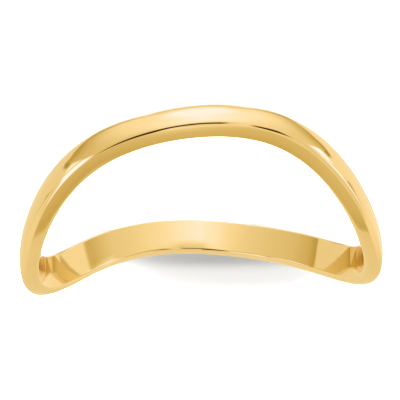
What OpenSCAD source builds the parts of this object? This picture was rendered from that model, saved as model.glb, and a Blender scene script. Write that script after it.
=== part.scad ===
// A plain finger ring whose band runs round in a wave: two low crests, at the
// front and the back, and two high shoulders at the sides. It lies on its
// crests, with the front towards -Y, +Z up and the surface at z = 0.
// The origin is under the middle of its outer box. All lengths are in mm.

/* [Finger] */
// Inside diameter of the band at the middle of its width
inner_d = 18.05; // [15:0.05:22]

/* [Band section] */
// Thickness from the inner face to the crown of the outer face
band_t = 1.15; // [0.8:0.05:1.6]
// Width of the band at the front and back crests
crest_w = 1.9; // [1.4:0.05:3]
// Width of the band at the side shoulders
shoulder_w = 2.25; // [1.4:0.05:3]
// How far the outer face falls from its crown to its edges
crown_drop = 0.09; // [0.05:0.01:0.2]
// How far the inner face falls from its middle to its edges
inner_drop = 0.02; // [0.01:0.01:0.1]
// Radius of the outer edges
outer_edge_r = 0.22; // [0.08:0.01:0.25]
// Radius of the inner edges
inner_edge_r = 0.12; // [0.05:0.01:0.25]

/* [Softening towards the shoulders] */
// Radius of the upper outer edge at the shoulders
outer_turn_r = 0.42; // [0.1:0.01:0.45]
// Radius of the upper inner edge at the shoulders
inner_turn_r = 0.46; // [0.1:0.01:0.5]
// How late the upper edges soften on the way from the front to the shoulders
front_hold = 8; // [1:1:12]
// How late the upper edges soften on the way from the back to the shoulders
back_hold = 2; // [1:1:12]

/* [Wave] */
// Height of the wave, from the crests to the shoulders
wave_h = 4.6; // [1:0.1:6]
// How much flatter the turns of the wave are than a plain cosine
flat_turns = 0.25; // [0:0.01:0.3]
// How much fuller the front arch is than the back one
front_fullness = 0.27; // [0:0.01:0.3]
// Unevenness of the bending between the left and the right side
sway = 0.13; // [0:0.01:0.2]

/* [Lean of the section] */
// Degrees that the outer face looks down at the front crest
front_lean = 35; // [0:1:40]
// Degrees that the outer face looks down at the shoulders
shoulder_lean = 0; // [-15:0.5:15]
// Degrees that the outer face looks down at the back crest
back_lean = 2; // [-15:1:30]

/* [Smoothness] */
// Number of sections round the band
sections = 120; // [60:4:160]
// Number of steps in each rounded edge
edge_steps = 4; // [2:1:5]
// Number of steps from the middle of a face to its edge
crown_steps = 3; // [2:1:4]

/* [Hidden] */

gold = [0.93, 0.74, 0.38];
mid_r = inner_d / 2 + band_t / 2;

// One value a degree a round the ring, from its values at the front, the
// shoulders and the back.
function around(front, shoulder, back, a) =
    (front + back) / 4 + shoulder / 2
    + (front - back) / 2 * cos(a)
    + ((front + back) / 4 - shoulder / 2) * cos(2 * a);

// Height of the band's middle line at angle a, and its first and second
// derivatives by the angle in radians. Angle 0 is the front, 90 is +X.
function wave(a) =
    -wave_h / 2 * cos(2 * a) + flat_turns * cos(4 * a)
    + front_fullness * (cos(3 * a) - cos(a)) + sway * sin(4 * a);
function wave_slope(a) =
    wave_h * sin(2 * a) - 4 * flat_turns * sin(4 * a)
    + front_fullness * (sin(a) - 3 * sin(3 * a)) + 4 * sway * cos(4 * a);
function wave_bend(a) =
    2 * wave_h * cos(2 * a) - 16 * flat_turns * cos(4 * a)
    + front_fullness * (cos(a) - 9 * cos(3 * a)) - 16 * sway * sin(4 * a);

// The points of an arc of radius r round [x, y], from one angle to another.
function arc(x, y, r, from, to) =
    [for (i = [0 : edge_steps]) let (a = from + (to - from) * i / edge_steps)
        [x + r * cos(a), y + r * sin(a)]];

// A quarter of the section's outline, as [outward, upward] points, from the
// middle of a face that falls by drop round an edge of radius r to the side.
function quarter(w, drop, r) =
    let (
        edge_y = w / 2 - r,
        gap = (drop * drop + edge_y * edge_y) / (2 * drop),
        end = asin(edge_y / gap)
    )
    concat(
        [for (i = [0 : crown_steps - 1]) let (a = end * i / crown_steps)
            [band_t / 2 + (gap + r) * (cos(a) - 1), (gap + r) * sin(a)]],
        arc(band_t / 2 - drop - r, edge_y, r, end, 90)
    );

function reversed(points, last) = [for (i = [len(points) - 1 : -1 : last]) points[i]];
function mirrored(points, x, y) = [for (p = points) [p[0] * x, p[1] * y]];

// An upper edge's radius at angle a, kept within its half of the thickness.
function upper_r(edge_r, turn_r, drop, a) =
    min(edge_r + (turn_r - edge_r) * pow(abs(sin(a)), cos(a) > 0 ? front_hold : back_hold),
        band_t / 2 - drop);

// Outline of the section at angle a: two slightly domed faces, two flat sides
// and four rounded edges, of which the upper two soften towards the shoulders.
function section(a) =
    let (
        w = around(crest_w, shoulder_w, crest_w, a),
        outer_high = quarter(w, crown_drop, upper_r(outer_edge_r, outer_turn_r, crown_drop, a)),
        inner_high = quarter(w, inner_drop, upper_r(inner_edge_r, inner_turn_r, inner_drop, a)),
        inner_low = quarter(w, inner_drop, inner_edge_r),
        outer_low = quarter(w, crown_drop, outer_edge_r)
    )
    concat(
        outer_high,
        mirrored(reversed(inner_high, 1), -1, 1),
        mirrored(inner_low, -1, -1),
        mirrored(reversed(outer_low, 1), 1, -1)
    );

// The section at angle a, set across the band's middle line and leaned.
function station(a) =
    let (
        out = [sin(a), -cos(a), 0],
        along = [mid_r * cos(a), mid_r * sin(a), wave_slope(a)],
        ahead = along / norm(along),
        up = cross(out, ahead),
        lean = around(front_lean, shoulder_lean, back_lean, a),
        face = out * cos(lean) - up * sin(lean),
        rise = up * cos(lean) + out * sin(lean),
        middle = mid_r * out + [0, 0, wave(a)]
    )
    [for (p = section(a)) middle + face * p[0] + rise * p[1]];

// The ring rocks on its two crests until the line between the points that
// touch passes under its middle. The radii of the crests and the slope that
// the sway gives them set that small roll.
crest_slope = wave_slope(0) / mid_r;
front_rocker = 1 / wave_bend(0);
back_rocker = 1 / wave_bend(180);
rest_roll = atan(crest_slope * (front_rocker - back_rocker) / (front_rocker + back_rocker));

function rolled(p) =
    [p[0] * cos(rest_roll) + p[2] * sin(rest_roll), p[1],
     p[2] * cos(rest_roll) - p[0] * sin(rest_roll)];

ring_points = [for (i = [0 : sections - 1]) each
    [for (p = station(i * 360 / sections)) rolled(p)]];
side_points = len(section(0));

function lowest(axis) = min([for (p = ring_points) p[axis]]);
function highest(axis) = max([for (p = ring_points) p[axis]]);
to_origin = [
    -(lowest(0) + highest(0)) / 2,
    -(lowest(1) + highest(1)) / 2,
    -lowest(2)
];

// Two triangles for each cell between one section and the next.
ring_faces = [for (i = [0 : sections - 1], j = [0 : side_points - 1]) let (
        next_i = (i + 1) % sections,
        next_j = (j + 1) % side_points,
        a = i * side_points + j,
        b = i * side_points + next_j,
        c = next_i * side_points + next_j,
        d = next_i * side_points + j
    ) each [[a, b, c], [a, c, d]]];

module band() {
    color(gold)
        translate(to_origin)
            polyhedron(ring_points, ring_faces);
}

band();
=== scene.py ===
"""A wave-shaped finger ring of polished yellow gold, laid out as a Blender add-on.

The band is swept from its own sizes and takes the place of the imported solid.
The stage is a plain pale surface, soft lights, gauze that shades the surface
behind the ring, the room that the metal reflects, and the camera. Lengths are
in metres, angles in radians.
"""

import math

import bpy
import numpy as np
from mathutils import Matrix, Vector


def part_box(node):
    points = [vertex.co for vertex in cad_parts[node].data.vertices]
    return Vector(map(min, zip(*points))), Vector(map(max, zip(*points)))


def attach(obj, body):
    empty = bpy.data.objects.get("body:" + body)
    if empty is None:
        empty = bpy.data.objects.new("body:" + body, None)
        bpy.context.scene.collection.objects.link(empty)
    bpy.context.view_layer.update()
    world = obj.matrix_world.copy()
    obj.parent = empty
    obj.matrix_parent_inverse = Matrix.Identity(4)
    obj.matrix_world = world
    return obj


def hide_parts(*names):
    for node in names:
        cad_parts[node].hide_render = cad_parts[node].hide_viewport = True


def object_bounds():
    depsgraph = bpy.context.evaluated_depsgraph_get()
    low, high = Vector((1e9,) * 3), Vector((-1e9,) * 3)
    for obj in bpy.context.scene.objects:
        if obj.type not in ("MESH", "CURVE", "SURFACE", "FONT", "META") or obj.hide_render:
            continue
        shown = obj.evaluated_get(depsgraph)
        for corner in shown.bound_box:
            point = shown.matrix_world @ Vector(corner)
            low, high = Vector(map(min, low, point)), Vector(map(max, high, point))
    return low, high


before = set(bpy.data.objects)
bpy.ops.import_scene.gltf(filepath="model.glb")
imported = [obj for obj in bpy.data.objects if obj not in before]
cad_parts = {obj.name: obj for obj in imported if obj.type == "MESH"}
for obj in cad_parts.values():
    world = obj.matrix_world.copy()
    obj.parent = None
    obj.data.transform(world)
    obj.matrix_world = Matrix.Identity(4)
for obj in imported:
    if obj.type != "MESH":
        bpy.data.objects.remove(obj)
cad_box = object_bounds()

bl_info = {
    "name": "Wave Thumb Ring",
    "version": (1, 0, 0),
    "blender": (4, 5, 0),
    "location": "View3D > Sidebar > Wave Ring",
    "description": "Makes a wave-shaped gold finger ring and a plain studio round it",
    "category": "Add Mesh",
}

MM = 0.001
DEG = math.pi / 180


def linear(hex_colour):
    """Turns an sRGB hex colour into three linear values."""
    values = [int(hex_colour[i:i + 2], 16) / 255 for i in (1, 3, 5)]
    return tuple(v / 12.92 if v <= 0.04045 else ((v + 0.055) / 1.055) ** 2.4 for v in values)


def length_property(name, description, mm):
    return bpy.props.FloatProperty(
        name=name, description=description, default=mm * MM, precision=5, unit="LENGTH")


def angle_property(name, description, degrees):
    return bpy.props.FloatProperty(
        name=name, description=description, default=degrees * DEG, subtype="ANGLE")


def number_property(name, description, value, low=0.0, high=1000.0):
    return bpy.props.FloatProperty(
        name=name, description=description, default=value, min=low, max=high, precision=3)


def count_property(name, description, value):
    return bpy.props.IntProperty(name=name, description=description, default=value, min=1)


def colour_property(name, description, hex_colour):
    return bpy.props.FloatVectorProperty(
        name=name, description=description, default=linear(hex_colour), size=3,
        min=0, max=1, subtype="COLOR")


class WaveRingBandSizes(bpy.types.PropertyGroup):
    """Sizes of the band."""

    inner_d: length_property("Inside diameter", "Across the finger hole, mid-band", 18.05)
    thickness: length_property("Thickness", "From the inner face to the outer crown", 1.15)
    crest_width: length_property("Crest width", "Width of the band at the front and back", 1.9)
    shoulder_width: length_property("Shoulder width", "Width of the band at the sides", 2.25)
    crown_drop: length_property("Crown drop", "How far the outer face falls to its edges", 0.09)
    inner_drop: length_property("Inner drop", "How far the inner face falls to its edges", 0.02)
    outer_edge_r: length_property("Outer edge radius", "Of the outer edges", 0.22)
    inner_edge_r: length_property("Inner edge radius", "Of the inner edges", 0.12)
    outer_turn_r: length_property("Outer turn radius", "Of the shoulders' upper outer edge", 0.42)
    inner_turn_r: length_property("Inner turn radius", "Of the shoulders' upper inner edge", 0.46)
    side_bend: length_property("Side bend", "Radius of the slight bulge of the side faces", 5.7)
    front_hold: number_property("Front hold", "How late the edges soften from the front", 8, low=1)
    back_hold: number_property("Back hold", "How late the edges soften from the back", 2, low=1)
    wave_height: length_property("Wave height", "From the crests up to the shoulders", 4.6)
    flat_turns: length_property("Flat turns", "How much flatter the turns are than a cosine", 0.25)
    front_fullness: length_property("Front fullness", "How much fuller the front arch is", 0.27)
    sway: length_property("Sway", "Unevenness between the left and the right side", 0.13)
    front_lean: angle_property("Front lean", "How far the outer face looks down at the front", 35)
    shoulder_lean: angle_property("Shoulder lean", "How far it looks down at the sides", 0)
    back_lean: angle_property("Back lean", "How far it looks down at the back", 2)
    stations: count_property("Stations", "Number of sections round the band", 960)
    face_steps: count_property("Face steps", "From the middle of a face to its edge", 8)
    edge_steps: count_property("Edge steps", "Round each edge", 10)
    side_steps: count_property("Side steps", "From an edge to the middle of a side", 4)


class WaveRingFinish(bpy.types.PropertyGroup):
    """Colour and finish of the metal."""

    gold: colour_property("Gold", "Colour of the polished alloy, seen face on", "#EEDCAA")
    polish: number_property("Polish", "Roughness of the mirror polish", 0.03, high=1)
    haze: number_property("Haze", "Roughness that the duller spots add", 0.06, high=1)
    edge_haze: number_property("Edge haze", "Roughness that the buffed edges add", 0.02, high=1)
    haze_size: length_property("Haze size", "Distance between the duller spots", 0.9)
    haze_start: number_property("Haze start", "Noise value where a spot begins", 0.45, high=1)
    haze_full: number_property("Haze full", "Noise value where a spot is dullest", 0.75, high=1)
    wave_length: length_property("Waviness", "Distance between the polish's low waves", 1.6)
    wave_depth: length_property("Waviness depth", "Height of the polish's low waves", 0.004)
    line_spacing: length_property("Buffing lines", "Distance between the buffing lines", 0.09)
    line_length: length_property("Line length", "Length of the buffing lines", 3)
    line_depth: length_property("Line depth", "Depth of the buffing lines", 0.0012)


class WaveRingStage(bpy.types.PropertyGroup):
    """The surface, the lights, the gauze that shades the surface and the camera."""

    floor_colour: colour_property("Surface", "Colour of the surface", "#F4F2EE")
    backdrop_colour: colour_property("Backdrop", "Colour behind the surface", "#FFFFFF")
    floor_size: length_property("Surface size", "Width of the square surface", 1200)
    room_light: number_property("Room light", "Strength of the room that the metal reflects", 2)
    softbox_size: length_property("Softbox size", "Width of the square softbox overhead", 2400)
    softbox_height: length_property("Softbox height", "Above the surface", 800)
    softbox_light: number_property("Softbox light", "So strong that the surface is plain white", 6.8)
    strip_length: length_property("Strip length", "Of the low strip light, side to side", 300)
    strip_width: length_property("Strip width", "Of the low strip light, up and down", 20)
    strip_distance: length_property("Strip distance", "From the ring's middle to the light", 400)
    strip_elevation: angle_property("Strip elevation", "Of the light above the surface", 8)
    strip_light: number_property("Strip light", "Its radiance", 1100, high=5000)
    net_colour: colour_property("Net", "Light that the net lets through", "#7B7B7B")
    net_length: length_property("Net length", "Of the high net behind the ring", 24)
    net_depth: length_property("Net depth", "Of the net, away from the ring", 17)
    net_height: length_property("Net height", "Of the net above the surface", 4.4)
    net_turn: angle_property("Net turn", "Turn of the net on the surface", -14)
    net_aside: length_property("Net aside", "From the middle of the ring to -X", 2.8)
    net_gap: length_property("Net gap", "From the back of the ring to the net", 0.8)
    flag_colour: colour_property("Flag", "Light that the flag lets through", "#B4B4B4")
    flag_length: length_property("Flag length", "Of the low flag under the net", 22)
    flag_depth: length_property("Flag depth", "Of the flag, away from the ring", 7.6)
    flag_height: length_property("Flag height", "Of the flag above the surface", 1.3)
    flag_turn: angle_property("Flag turn", "Turn of the flag on the surface", -9)
    flag_aside: length_property("Flag aside", "From the middle of the ring to -X", 1.4)
    flag_gap: length_property("Flag gap", "From the back of the ring to the flag", 0.2)
    card_colour: colour_property("Card", "Light that the upright card lets through", "#404040")
    card_length: length_property("Card length", "Of the upright card behind the ring", 20)
    card_height: length_property("Card height", "Of the upright card above the surface", 3)
    card_aside: length_property("Card aside", "From the middle of the ring to -X", 2)
    card_gap: length_property("Card gap", "From the back of the ring to the card", 0.15)
    oval_points: count_property("Oval points", "Corners of each net, flag and card", 48)
    bounces: count_property("Bounces", "Times that light goes on from metal to metal", 12)
    azimuth: angle_property("Azimuth", "Turn of the camera round the ring", 1.43)
    elevation: angle_property("Elevation", "Height of the camera above the surface", 19.74)
    roll: angle_property("Roll", "Turn of the camera about its own view", 177.17)
    distance: length_property("Distance", "From the camera to the point it looks at", 149.9)
    aim_x: length_property("Aim X", "Of the point that the camera looks at", -0.0906)
    aim_y: length_property("Aim Y", "Of the point that the camera looks at", -0.19)
    aim_z: length_property("Aim Z", "Of the point that the camera looks at", 2.176)
    lens: bpy.props.FloatProperty(
        name="Lens", description="Focal length", default=239.5, min=1, unit="CAMERA")
    sensor: bpy.props.FloatProperty(
        name="Sensor", description="Width of the sensor", default=36, min=1, unit="CAMERA")
    nearest: length_property("Nearest", "Distance where the camera starts to see", 10)
    farthest: length_property("Farthest", "Distance where the camera stops seeing", 10000)


def add(tree, kind, inputs=None, **settings):
    """Adds a node with its settings and inputs. A node as an input is its first output."""
    made = tree.nodes.new(kind)
    for name, value in settings.items():
        setattr(made, name, value)
    for name, value in (inputs or {}).items():
        if isinstance(value, bpy.types.Node):
            value = value.outputs[0]
        if isinstance(value, bpy.types.NodeSocket):
            tree.links.new(value, made.inputs[name])
        else:
            made.inputs[name].default_value = value
    return made


def new_tree(owner):
    """An empty node tree in a material or a world."""
    owner.use_nodes = True
    owner.node_tree.nodes.clear()
    return owner.node_tree


def polished_gold(finish):
    """14 karat yellow gold, cast, filed smooth and buffed to a mirror with a soft wheel.

    The eye gets one even colour, and nearly all of the look from what the metal mirrors: sharp
    bright and brown shapes that stretch along the band. The wheel leaves low waves that bend
    their borders a little, faint lines along the band that draw them out, and spots and edges
    where the mirror is a touch duller.
    """
    material = bpy.data.materials.new("polished_14k_gold")
    tree = new_tree(material)
    place = add(tree, "ShaderNodeTexCoord").outputs["Object"]

    waves = add(tree, "ShaderNodeTexNoise", {
        "Vector": place, "Scale": 1 / finish.wave_length, "Detail": 1, "Roughness": 0.4})
    wavy = add(tree, "ShaderNodeBump", {
        "Height": waves, "Distance": finish.wave_depth, "Strength": 1})

    # The lines run round the band and are thin across it. Real ones lie about 0.01 mm apart,
    # too fine for the picture, so these are drawn as coarse as it needs to show them.
    along = add(tree, "ShaderNodeAttribute", attribute_name="round_the_band")
    across = add(tree, "ShaderNodeAttribute", attribute_name="across_the_band")
    along = add(tree, "ShaderNodeVectorMath", {
        0: along.outputs["Vector"], "Scale": 1 / finish.line_length}, operation="SCALE")
    in_lines = add(tree, "ShaderNodeVectorMath", {
        0: across.outputs["Vector"], "Scale": 1 / finish.line_spacing}, operation="SCALE")
    x, y, _ = add(tree, "ShaderNodeSeparateXYZ", {0: along}).outputs
    outward, upward, _ = add(tree, "ShaderNodeSeparateXYZ", {0: in_lines}).outputs
    line_place = add(tree, "ShaderNodeCombineXYZ", {"X": x, "Y": y, "Z": outward})
    lines = add(tree, "ShaderNodeTexNoise", {
        "Vector": line_place, "W": upward, "Scale": 1, "Detail": 2, "Roughness": 0.6},
        noise_dimensions="4D")
    lined = add(tree, "ShaderNodeBump", {
        "Height": lines, "Distance": finish.line_depth, "Strength": 1, "Normal": wavy})

    spots = add(tree, "ShaderNodeTexNoise", {
        "Vector": place, "Scale": 1 / finish.haze_size, "Detail": 3, "Roughness": 0.6})
    dull = add(tree, "ShaderNodeMapRange", {
        "Value": spots, "From Min": finish.haze_start, "From Max": finish.haze_full,
        "To Min": finish.polish, "To Max": finish.polish + finish.haze})
    on_edge = add(tree, "ShaderNodeSeparateXYZ", {0: across.outputs["Vector"]}).outputs["Z"]
    roughness = add(tree, "ShaderNodeMath", {0: on_edge, 1: finish.edge_haze, 2: dull},
                    operation="MULTIPLY_ADD")
    shader = add(tree, "ShaderNodeBsdfPrincipled", {
        "Base Color": (*finish.gold, 1),
        "Metallic": 1,
        "Roughness": roughness,
        "Normal": lined,
    })
    add(tree, "ShaderNodeOutputMaterial", {"Surface": shader})
    return material


def arc(x, y, radius, start, end, steps):
    """Points and normals of an arc round (x, y), angles in degrees."""
    angles = np.radians(np.linspace(start, end, steps + 1))
    normals = np.stack([np.cos(angles), np.sin(angles)], 1)
    return normals * radius + (x, y), normals


def quarter(sizes, width, drop, radius):
    """A quarter of the section's outline, from the middle of a face to the middle of a side."""
    half, side, bend = sizes.thickness / 2, width / 2, sizes.side_bend
    edge_x = half - drop - radius
    edge_y = side - edge_x ** 2 / (2 * bend) - radius
    gap = (drop ** 2 + edge_y ** 2) / (2 * drop)
    end = math.degrees(math.asin(edge_y / gap))
    lean = math.degrees(math.asin(edge_x / bend))
    face, face_normals = arc(half - gap - radius, 0, gap + radius, 0, end, sizes.face_steps)
    edge, edge_normals = arc(edge_x, edge_y, radius, end, 90 - lean, sizes.edge_steps)
    flank, flank_normals = arc(0, side - bend, bend, 90 - lean, 90, sizes.side_steps)
    points = np.concatenate([face[:-1], edge, flank[1:]])
    normals = np.concatenate([face_normals[:-1], edge_normals, flank_normals[1:]])
    return np.concatenate([points, normals], 1)


def section(sizes, width, outer_high_r, inner_high_r):
    """Outline of the band's section, as (outward, upward) points and their normals."""
    outer_high = quarter(sizes, width, sizes.crown_drop, outer_high_r)
    inner_high = quarter(sizes, width, sizes.inner_drop, inner_high_r) * (-1, 1, -1, 1)
    inner_low = quarter(sizes, width, sizes.inner_drop, sizes.inner_edge_r) * (-1, -1, -1, -1)
    outer_low = quarter(sizes, width, sizes.crown_drop, sizes.outer_edge_r) * (1, -1, 1, -1)
    outline = np.concatenate(
        [outer_high[:-1], inner_high[:0:-1], inner_low[:-1], outer_low[:0:-1]])
    return outline[:, :2], outline[:, 2:]


def around(front, shoulder, back, a):
    """A value at angle a, from its values at the front, the shoulders and the back."""
    return ((front + back) / 4 + shoulder / 2 + (front - back) / 2 * np.cos(a)
            + ((front + back) / 4 - shoulder / 2) * np.cos(2 * a))


def wave(sizes, a):
    """Height of the band's middle line at angle a."""
    return (-sizes.wave_height / 2 * np.cos(2 * a) + sizes.flat_turns * np.cos(4 * a)
            + sizes.front_fullness * (np.cos(3 * a) - np.cos(a)) + sizes.sway * np.sin(4 * a))


def wave_slope(sizes, a):
    """How fast the middle line climbs at angle a."""
    return (sizes.wave_height * np.sin(2 * a) - 4 * sizes.flat_turns * np.sin(4 * a)
            + sizes.front_fullness * (np.sin(a) - 3 * np.sin(3 * a))
            + 4 * sizes.sway * np.cos(4 * a))


def wave_bend(sizes, a):
    """How fast that climb changes at angle a."""
    return (2 * sizes.wave_height * np.cos(2 * a) - 16 * sizes.flat_turns * np.cos(4 * a)
            + sizes.front_fullness * (np.cos(a) - 9 * np.cos(3 * a))
            - 16 * sizes.sway * np.sin(4 * a))


def rest_roll(sizes):
    """The small roll at which the ring comes to rest on its two crests."""
    mid_r = (sizes.inner_d + sizes.thickness) / 2
    front, back = 1 / wave_bend(sizes, 0), 1 / wave_bend(sizes, math.pi)
    return math.atan(wave_slope(sizes, 0) / mid_r * (front - back) / (front + back))


def band_points(sizes):
    """Points and normals of the band, as arrays of stations by section points.

    Two more arrays say where each point is: on the circle round the finger, and in the section
    as (outward, upward, share of a rounded edge).
    """
    mid_r = (sizes.inner_d + sizes.thickness) / 2
    points, tangents, rounds, acrosses = [], [], [], []
    for a in np.arange(sizes.stations) * 2 * math.pi / sizes.stations:
        out = np.array([math.sin(a), -math.cos(a), 0])
        ahead = np.array([mid_r * math.cos(a), mid_r * math.sin(a), wave_slope(sizes, a)])
        ahead /= np.linalg.norm(ahead)
        up = np.cross(out, ahead)
        lean = around(sizes.front_lean, sizes.shoulder_lean, sizes.back_lean, a)
        face = out * math.cos(lean) - up * math.sin(lean)
        rise = up * math.cos(lean) + out * math.sin(lean)
        width = around(sizes.crest_width, sizes.shoulder_width, sizes.crest_width, a)
        hold = sizes.front_hold if math.cos(a) > 0 else sizes.back_hold
        soft = abs(math.sin(a)) ** hold
        outer_high_r = sizes.outer_edge_r + (sizes.outer_turn_r - sizes.outer_edge_r) * soft
        inner_high_r = sizes.inner_edge_r + (sizes.inner_turn_r - sizes.inner_edge_r) * soft
        outline, facing = section(sizes, width, outer_high_r, inner_high_r)
        middle = mid_r * out + np.array([0, 0, wave(sizes, a)])
        points.append(middle + outline[:, :1] * face + outline[:, 1:] * rise)
        tangents.append(facing[:, :1] * rise - facing[:, 1:] * face)
        rounds.append(np.tile(mid_r * out, (len(outline), 1)))
        acrosses.append(np.column_stack([outline, 2 * abs(facing[:, 0] * facing[:, 1])]))
    points = np.array(points)
    along = np.roll(points, -1, 0) - np.roll(points, 1, 0)
    normals = np.cross(along, np.array(tangents))
    normals /= np.linalg.norm(normals, axis=2, keepdims=True)
    turn = np.array(Matrix.Rotation(rest_roll(sizes), 3, "Y"))
    return points @ turn.T, normals @ turn.T, np.array(rounds), np.array(acrosses)


def band_mesh(sizes):
    """The band as a smooth mesh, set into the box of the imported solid."""
    points, normals, rounds, acrosses = band_points(sizes)
    stations, sides = points.shape[:2]
    low, high = points.min((0, 1)), points.max((0, 1))
    cad_low, cad_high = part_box("band")
    middle = (cad_low + cad_high) / 2
    points = points + (middle[0] - (low[0] + high[0]) / 2, middle[1] - (low[1] + high[1]) / 2,
                       cad_low[2] - low[2])
    quads = []
    for i in range(stations):
        this_ring, next_ring = i * sides, (i + 1) % stations * sides
        for j in range(sides):
            k = (j + 1) % sides
            quads.append((this_ring + j, next_ring + j, next_ring + k, this_ring + k))
    mesh = bpy.data.meshes.new("band_polished")
    mesh.from_pydata(points.reshape(-1, 3).tolist(), [], quads)
    mesh.shade_smooth()
    mesh.normals_split_custom_set_from_vertices(normals.reshape(-1, 3).tolist())
    for name, places in (("round_the_band", rounds), ("across_the_band", acrosses)):
        attribute = mesh.attributes.new(name, "FLOAT_VECTOR", "POINT")
        attribute.data.foreach_set("vector", places.ravel())
    return mesh


class WaveRingMakeBand(bpy.types.Operator):
    """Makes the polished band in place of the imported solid."""

    bl_idname = "wave_ring.make_band"
    bl_label = "Make Band"

    def execute(self, context):
        sizes = context.scene.wave_ring_band
        band = bpy.data.objects.new("band_polished", band_mesh(sizes))
        context.scene.collection.objects.link(band)
        band.data.materials.append(polished_gold(context.scene.wave_ring_finish))
        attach(band, "root")
        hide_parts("band")
        return {"FINISHED"}


def add_floor(stage):
    """A board with a rolled coat of matt white paint: one even tone for the eye, no gloss.

    The metal doesn't mirror it. There the lower half of the room takes its place.
    """
    material = bpy.data.materials.new("matt_white_board")
    tree = new_tree(material)
    shader = add(tree, "ShaderNodeBsdfDiffuse", {"Color": (*stage.floor_colour, 1)})
    add(tree, "ShaderNodeOutputMaterial", {"Surface": shader})
    half = stage.floor_size / 2
    mesh = bpy.data.meshes.new("floor")
    mesh.from_pydata([(-half, -half, 0), (half, -half, 0), (half, half, 0), (-half, half, 0)],
                     [], [(0, 1, 2, 3)])
    mesh.materials.append(material)
    floor = bpy.data.objects.new("floor", mesh)
    floor.visible_glossy = False
    floor.visible_shadow = False
    bpy.context.scene.collection.objects.link(floor)


def add_softbox(stage):
    """One large softbox overhead lights the surface. The metal has its own room to reflect."""
    light = bpy.data.lights.new("softbox", "AREA")
    light.size = stage.softbox_size
    light.energy = stage.softbox_light * math.pi * light.size ** 2
    softbox = bpy.data.objects.new("softbox", light)
    softbox.location.z = stage.softbox_height
    softbox.visible_glossy = False
    softbox.visible_camera = False
    bpy.context.scene.collection.objects.link(softbox)


def add_strip_light(stage):
    """A low strip light in front, which reaches the surface right below the band."""
    light = bpy.data.lights.new("strip_light", "AREA")
    light.shape = "RECTANGLE"
    light.size = stage.strip_length
    light.size_y = stage.strip_width
    light.energy = stage.strip_light * math.pi * light.size * light.size_y
    away = Vector((0, -math.cos(stage.strip_elevation), math.sin(stage.strip_elevation)))
    strip = bpy.data.objects.new("strip_light", light)
    strip.location = away * stage.strip_distance
    strip.rotation_euler = away.to_track_quat("Z", "Y").to_euler()
    strip.visible_glossy = False
    strip.visible_camera = False
    bpy.context.scene.collection.objects.link(strip)


def add_shade(name, colour, place, length, depth, points, turn, tilt=0):
    """An unseen flat oval of thin black gauze, which lets the given colour through.

    The eye gets only the soft grey shadow that it leaves on the surface behind the ring.
    """
    material = bpy.data.materials.new(name)
    tree = new_tree(material)
    shader = add(tree, "ShaderNodeBsdfTransparent", {"Color": (*colour, 1)})
    add(tree, "ShaderNodeOutputMaterial", {"Surface": shader})
    mesh = bpy.data.meshes.new(name)
    turns = [i * 2 * math.pi / points for i in range(points)]
    mesh.from_pydata([(length / 2 * math.cos(a), depth / 2 * math.sin(a), 0) for a in turns], [],
                     [range(points)])
    mesh.materials.append(material)
    shade = bpy.data.objects.new(name, mesh)
    shade.location = place
    shade.rotation_euler = (tilt, 0, turn)
    shade.visible_camera = False
    shade.visible_glossy = False
    bpy.context.scene.collection.objects.link(shade)


def add_shades(stage):
    """A high net and a low flag give the soft shadow behind the ring.

    An upright card close to the ring keeps the strip light out of it. Its lower half is under
    the surface.
    """
    back = cad_box[1][1]
    net_y = back + stage.net_gap + stage.net_depth / 2
    add_shade("black_net", stage.net_colour, (-stage.net_aside, net_y, stage.net_height),
              stage.net_length, stage.net_depth, stage.oval_points, stage.net_turn)
    flag_y = back + stage.flag_gap + stage.flag_depth / 2
    add_shade("black_flag", stage.flag_colour, (-stage.flag_aside, flag_y, stage.flag_height),
              stage.flag_length, stage.flag_depth, stage.oval_points, stage.flag_turn)
    add_shade("black_card", stage.card_colour, (-stage.card_aside, back + stage.card_gap, 0),
              stage.card_length, 2 * stage.card_height, stage.oval_points, 0, 90 * DEG)


def set_stops(ramp, stops):
    """Puts (position, colour) stops on a colour ramp."""
    elements = ramp.color_ramp.elements
    for position, _ in stops[1:-1]:
        elements.new(position)
    for element, (position, colour) in zip(elements, stops):
        element.position = position
        element.color = (*colour, 1)


def curve(tree, place, *points):
    """A brightness that runs straight from one (place, brightness) point to the next."""
    start, end = points[0][0], points[-1][0]
    low = min(brightness for _, brightness in points)
    high = max(brightness for _, brightness in points)
    share = add(tree, "ShaderNodeMapRange", {"Value": place, "From Min": start, "From Max": end})
    ramp = add(tree, "ShaderNodeValToRGB", {"Fac": share})
    set_stops(ramp, [((where - start) / (end - start), [(brightness - low) / (high - low)] * 3)
                     for where, brightness in points])
    return add(tree, "ShaderNodeMapRange", {"Value": ramp, "To Min": low, "To Max": high})


def lay(tree, under, over, *edges):
    """Lays one brightness over another.

    Each edge, a place with a start and an end, fades the upper one in from start to end.
    """
    share = None
    for place, start, end in edges:
        edge = add(tree, "ShaderNodeMapRange", {"Value": place, "From Min": start, "From Max": end},
                   interpolation_type="SMOOTHSTEP")
        if share:
            edge = add(tree, "ShaderNodeMath", {0: share, 1: edge}, operation="MULTIPLY")
        share = edge
    return add(tree, "ShaderNodeMix", {"Factor": share, "A": under, "B": over})


def difference(tree, first, second):
    """The first value less the second."""
    return add(tree, "ShaderNodeMath", {0: first, 1: second}, operation="SUBTRACT")


# Brightness of the single lights, cards and dark places of the room, in the scale of
# ROOM_COLOURS, where 1 is a white wall in full light.
CEILING_LAMP = 1.2
WIDE_CARD = 1.35
LEFT_CARD = 1.1
RIGHT_CARD = 1.45
SIDE_LIGHTS = 1.4
RIM_LINE = 0.4
LOW_WEDGES = 0.52
UNLIT_GAP = 0.03


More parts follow.
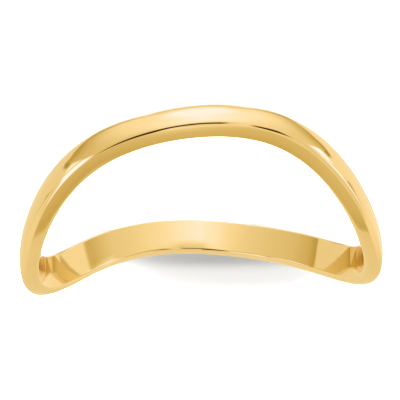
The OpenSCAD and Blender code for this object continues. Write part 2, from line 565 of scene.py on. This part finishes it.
def ceiling(tree, bearing, height, aside):
    """The bright ceiling, darker towards its rim and behind."""
    rim = curve(
        tree, bearing, (-180, 0.4), (-140, 0.38), (-120, 0.45), (-100, 0.6), (-80, 0.68),
        (-60, 0.78), (-30, 1.0), (0, 1.1), (30, 1.0), (60, 0.82), (80, 0.78), (100, 0.72),
        (118, 0.48), (135, 0.42), (180, 0.5))
    top = curve(
        tree, bearing, (-180, 0.97), (-100, 0.97), (-60, 1.03), (0, 1.15), (60, 1.08),
        (100, 1.05), (140, 0.96), (180, 0.96))
    shade = lay(tree, rim, top, (height, 41, 68))
    shade = lay(tree, shade, CEILING_LAMP, (height, 70, 84))
    frame_shade = curve(tree, height, (45, 0.42), (55, 0.5), (64, 0.6), (70, 0.75), (76, 0.95))
    return lay(tree, shade, frame_shade, (aside, 133, 139), (height, 78, 72))


def below(tree, bearing, height, forward):
    """The dim half of the room on the other side of the ring."""
    walls = curve(
        tree, bearing, (-180, 0.74), (-150, 0.76), (-140, 0.8), (-120, 0.82), (-100, 0.86),
        (-90, 0.8), (-60, 0.64), (-40, 0.7), (-30, 0.8), (-20, 0.95), (-9, 1.0), (-3, 0.75),
        (8, 0.75), (15, 0.72), (25, 0.9), (50, 0.73), (70, 0.74), (85, 0.75), (100, 0.9),
        (120, 0.88), (135, 0.82), (150, 0.72), (180, 0.74))
    base = curve(tree, forward, (-0.4, 0.7), (-0.272, 0.7), (-0.252, 0.47), (-0.1, 0.57),
                 (0, 0.62), (0.05, 0.7), (0.11, 0.92), (0.3, 1.0))
    return lay(tree, base, walls, (height, -79, -66))


def room_brightness(tree):
    """Brightness of the room by direction.

    The camera is rolled half a turn, so directions are given as the picture shows them, in
    degrees: bearing from the camera's side to the picture's right, height to its top.
    """
    direction = add(tree, "ShaderNodeTexCoord")
    opposite = add(tree, "ShaderNodeVectorMath", {0: direction, 1: (-1, -1, -1)},
                   operation="MULTIPLY")
    x, y, z = add(tree, "ShaderNodeSeparateXYZ", {0: opposite}).outputs
    turn = add(tree, "ShaderNodeMath", {0: x, 1: y}, operation="ARCTAN2")
    bearing = add(tree, "ShaderNodeMath", {0: turn}, operation="DEGREES")
    rise = add(tree, "ShaderNodeMath", {0: z}, operation="ARCSINE")
    height = add(tree, "ShaderNodeMath", {0: rise}, operation="DEGREES")
    aside = add(tree, "ShaderNodeMath", {0: bearing}, operation="ABSOLUTE")

    walls = curve(
        tree, bearing, (-180, 0.78), (-94, 0.78), (-93, 0.45), (-85, 0.53), (-73, 0.64),
        (-55, 0.7), (-45, 0.745), (-35, 0.8), (-25, 0.9), (-15, 1.04), (0, 1.12), (15, 1.07),
        (25, 1.0), (45, 0.86), (55, 0.79), (65, 0.76), (75, 0.66), (85, 0.52), (89.5, 0.55),
        (90.5, 0.9), (180, 0.88))
    rim = curve(
        tree, bearing, (-180, 56), (-143, 47), (-120, 38), (-110, 36.5), (-60, 28), (60, 27),
        (112, 35.5), (119, 36.5), (126, 42), (134, 46), (180, 60))
    level = lay(tree, walls, ceiling(tree, bearing, height, aside),
                (difference(tree, height, rim), -1, 1))

    # White cards: a wide one behind, and a small one at the ceiling's rim on each side.
    card_side = curve(tree, height, (18, 168), (26, 162), (36, 154), (44, 149), (60, 147))
    level = lay(tree, level, WIDE_CARD, (difference(tree, aside, card_side), -5, 3),
                (height, 20, 24), (height, 68, 64))
    level = lay(tree, level, LEFT_CARD, (bearing, -109, -107), (bearing, -92, -94),
                (height, 28.5, 30.5), (height, 37, 35))
    level = lay(tree, level, RIGHT_CARD, (bearing, 81, 87), (bearing, 110, 104),
                (height, 27, 29), (height, 37, 35))

    # A dark line along the rim behind, and dark wedges low at both sides.
    from_rim = difference(tree, height, rim)
    level = lay(tree, level, RIM_LINE, (aside, 107, 114), (aside, 129, 123),
                (from_rim, -4, -2), (from_rim, 1, -0.5))
    wedge = curve(tree, aside, (96, 13.5), (106, 19.5), (112, 22), (118, 24))
    level = lay(tree, level, LOW_WEDGES, (difference(tree, height, wedge), 0.7, -0.7),
                (aside, 97, 99), (aside, 123, 119))
    level = lay(tree, below(tree, bearing, height, y), level, (height, 9, 13))

    # A tall light on the left and a square one on the right.
    strip = curve(tree, height, (-90, -95), (-70, -85), (-60, -73), (-45, -66), (-30, -65),
                  (-15, -68), (0, -75), (15, -82))
    from_strip = add(tree, "ShaderNodeMath", {0: difference(tree, bearing, strip)},
                     operation="ABSOLUTE")
    level = lay(tree, level, SIDE_LIGHTS, (from_strip, 11, 7),
                (height, -72, -58), (height, 17, 14))
    level = lay(tree, level, SIDE_LIGHTS, (bearing, 65, 73), (bearing, 99, 91),
                (height, -15, -9), (height, 17, 11))

    # The unlit gap in front, where the camera stands between the lights.
    gap = curve(tree, bearing, (-70, -72), (-50, -64), (-37, -57), (-27, -50), (-19, -41),
                (-11, -32), (-6, -30), (5, -28), (20, -27), (36, -26), (47, -5), (60, 8))
    reach = curve(tree, bearing, (-70, 8), (-50, 14), (-37, 22), (-27, 24), (-11, 20), (-6, 19),
                  (5, 17), (14, 18), (36, 20), (48, 14))
    from_gap = add(tree, "ShaderNodeMath", {0: difference(tree, height, gap)},
                   operation="ABSOLUTE")
    into_gap = difference(tree, from_gap, reach)
    level = lay(tree, level, UNLIT_GAP, (into_gap, 5, -4), (bearing, -64, -52),
                (bearing, 18, 14))
    return lay(tree, level, UNLIT_GAP, (into_gap, 5, -4), (bearing, 27, 32), (bearing, 50, 43),
               (height, 9, 4))


# Colours of the room from its darkest to its brightest places: golden brown in the shade,
# white where the lights are.
ROOM_COLOURS = (
    (0, "#271500"), (0.1, "#483508"), (0.25, "#765F27"), (0.4, "#8E763C"), (0.475, "#99844D"),
    (0.525, "#A59060"), (0.6, "#AB986C"), (0.7, "#B4A480"), (0.8, "#BCAD90"), (0.9, "#C4B59B"),
    (1.0, "#C8BCAC"), (1.07, "#C8C3C1"), (1.17, "#C9CEED"), (1.35, "#CBD3F8"), (1.6, "#DDE1FF"))


def add_room(stage):
    """The studio as the metal reflects it. It doesn't light the surface.

    Over the edge of the surface there is only a plain pale backdrop to see.
    """
    world = bpy.data.worlds.new("studio_room")
    bpy.context.scene.world = world
    tree = new_tree(world)
    brightest = ROOM_COLOURS[-1][0]
    share = add(tree, "ShaderNodeMapRange", {"Value": room_brightness(tree), "From Max": brightest})
    colour = add(tree, "ShaderNodeValToRGB", {"Fac": share})
    set_stops(colour, [(level / brightest, linear(hex_colour))
                       for level, hex_colour in ROOM_COLOURS])
    room = add(tree, "ShaderNodeBackground", {"Color": colour, "Strength": stage.room_light})
    backdrop = add(tree, "ShaderNodeBackground", {"Color": (*stage.backdrop_colour, 1)})
    seen = add(tree, "ShaderNodeLightPath").outputs["Is Camera Ray"]
    surroundings = add(tree, "ShaderNodeMixShader", {0: seen, 1: room, 2: backdrop})
    add(tree, "ShaderNodeOutputWorld", {"Surface": surroundings})
    world.cycles_visibility.diffuse = False


def add_camera(stage):
    """The camera looks at a point in the finger hole, rolled nearly half a turn."""
    aim = Vector((stage.aim_x, stage.aim_y, stage.aim_z))
    away = Vector((math.sin(stage.azimuth) * math.cos(stage.elevation),
                   -math.cos(stage.azimuth) * math.cos(stage.elevation),
                   math.sin(stage.elevation)))
    data = bpy.data.cameras.new("camera")
    data.lens = stage.lens
    data.sensor_width = stage.sensor
    data.clip_start = stage.nearest
    data.clip_end = stage.farthest
    camera = bpy.data.objects.new("camera", data)
    upright = away.to_track_quat("Z", "Y").to_matrix().to_4x4()
    roll = Matrix.Rotation(stage.roll, 4, "Z")
    camera.matrix_world = Matrix.Translation(aim + away * stage.distance) @ upright @ roll
    bpy.context.scene.collection.objects.link(camera)
    bpy.context.scene.camera = camera


class WaveRingSetStage(bpy.types.Operator):
    """Sets up the surface, the room, the lights with their gauze, and the camera."""

    bl_idname = "wave_ring.set_stage"
    bl_label = "Set Stage"

    def execute(self, context):
        stage = context.scene.wave_ring_stage
        add_floor(stage)
        add_room(stage)
        add_softbox(stage)
        add_strip_light(stage)
        add_shades(stage)
        add_camera(stage)
        context.scene.view_settings.view_transform = "Standard"
        # Light runs round inside the bright band, so it needs more mirror bounces than usual.
        context.scene.cycles.glossy_bounces = stage.bounces
        return {"FINISHED"}


class WaveRingPanel(bpy.types.Panel):
    """Lists the sizes, colours and operators of the ring."""

    bl_idname = "VIEW3D_PT_wave_ring"
    bl_label = "Wave Ring"
    bl_space_type = "VIEW_3D"
    bl_region_type = "UI"
    bl_category = "Wave Ring"

    def draw(self, context):
        scene = context.scene
        for group, operator in ((scene.wave_ring_band, WaveRingMakeBand.bl_idname),
                                (scene.wave_ring_finish, None),
                                (scene.wave_ring_stage, WaveRingSetStage.bl_idname)):
            box = self.layout.box()
            for name in group.__annotations__:
                box.prop(group, name)
            if operator:
                box.operator(operator)


CLASSES = (WaveRingBandSizes, WaveRingFinish, WaveRingStage, WaveRingMakeBand, WaveRingSetStage,
           WaveRingPanel)


def register():
    for cls in CLASSES:
        bpy.utils.register_class(cls)
    bpy.types.Scene.wave_ring_band = bpy.props.PointerProperty(type=WaveRingBandSizes)
    bpy.types.Scene.wave_ring_finish = bpy.props.PointerProperty(type=WaveRingFinish)
    bpy.types.Scene.wave_ring_stage = bpy.props.PointerProperty(type=WaveRingStage)


def unregister():
    del bpy.types.Scene.wave_ring_stage
    del bpy.types.Scene.wave_ring_finish
    del bpy.types.Scene.wave_ring_band
    for cls in reversed(CLASSES):
        bpy.utils.unregister_class(cls)


def main():
    register()
    bpy.ops.wave_ring.make_band()
    bpy.ops.wave_ring.set_stage()


if __name__ == "__main__":
    main()
